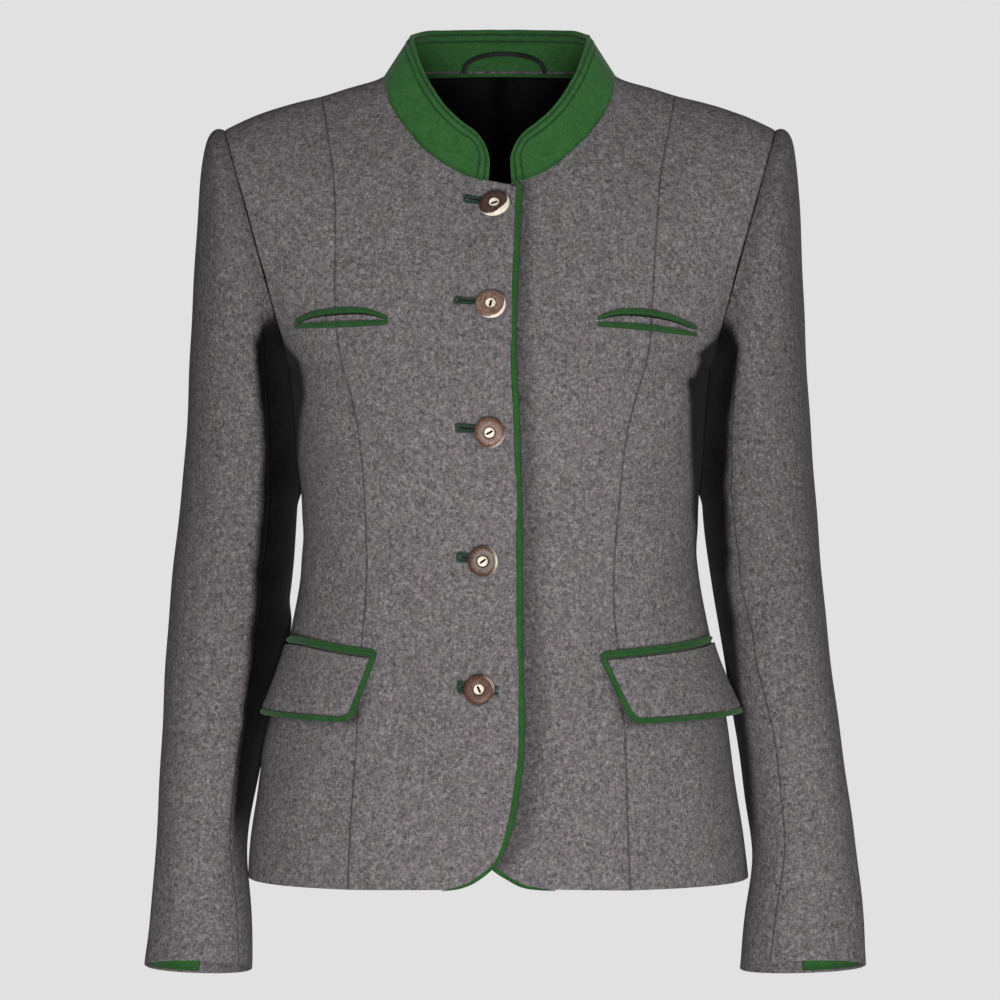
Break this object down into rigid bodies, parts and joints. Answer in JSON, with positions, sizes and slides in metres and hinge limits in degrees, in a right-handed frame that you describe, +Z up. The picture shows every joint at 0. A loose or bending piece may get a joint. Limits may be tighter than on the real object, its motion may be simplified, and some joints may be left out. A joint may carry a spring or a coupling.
{
  "type": "trachten jacket",
  "caption": "Women's trachten jacket: grey loden, green stand collar and bindings, horn buttons, flap pockets, filled out as worn with no wearer.",
  "frame": {"origin": "in the middle of the neck, level with the tops of the wearer's shoulders, which hold the jacket up", "axes": "+X towards the wearer's left, -Y out of the front, +Z up"},
  "size_m": [0.5428, 0.2448, 0.7238],
  "materials": {
    "loden": "milled wool loden, mottled mid grey with light and dark flecks, matt with a short nap",
    "felt": "fine milled green wool cloth, matt",
    "lining": "black lining twill, soft sheen",
    "horn": "polished staghorn, mottled brown face, pale bevelled rim and pale centre"
  },
  "bodies": {
    "root": {"front_right_centre": "loden", "front_right_side": "loden", "back_right": "loden", "lining_back_right": "lining", "edge_binding_right": "felt", "sleeve_upper_right": "loden", "sleeve_under_right": "loden", "cuff_facing_right": "felt", "chest_welt_upper_right": "felt", "chest_welt_lower_right": "felt", "waist_welt_right": "felt", "waist_flap_right": "loden", "flap_binding_right": "felt", "front_left_centre": "loden", "front_left_side": "loden", "back_left": "loden", "lining_back_left": "lining", "edge_binding_left": "felt", "sleeve_upper_left": "loden", "sleeve_under_left": "loden", "cuff_facing_left": "felt", "chest_welt_upper_left": "felt", "chest_welt_lower_left": "felt", "waist_welt_left": "felt", "waist_flap_left": "loden", "flap_binding_left": "felt", "collar": "felt", "hanger_loop": "lining", "button_1": "horn", "button_2": "horn", "button_3": "horn", "button_4": "horn", "button_5": "horn"}
  },
  "joints": []
}
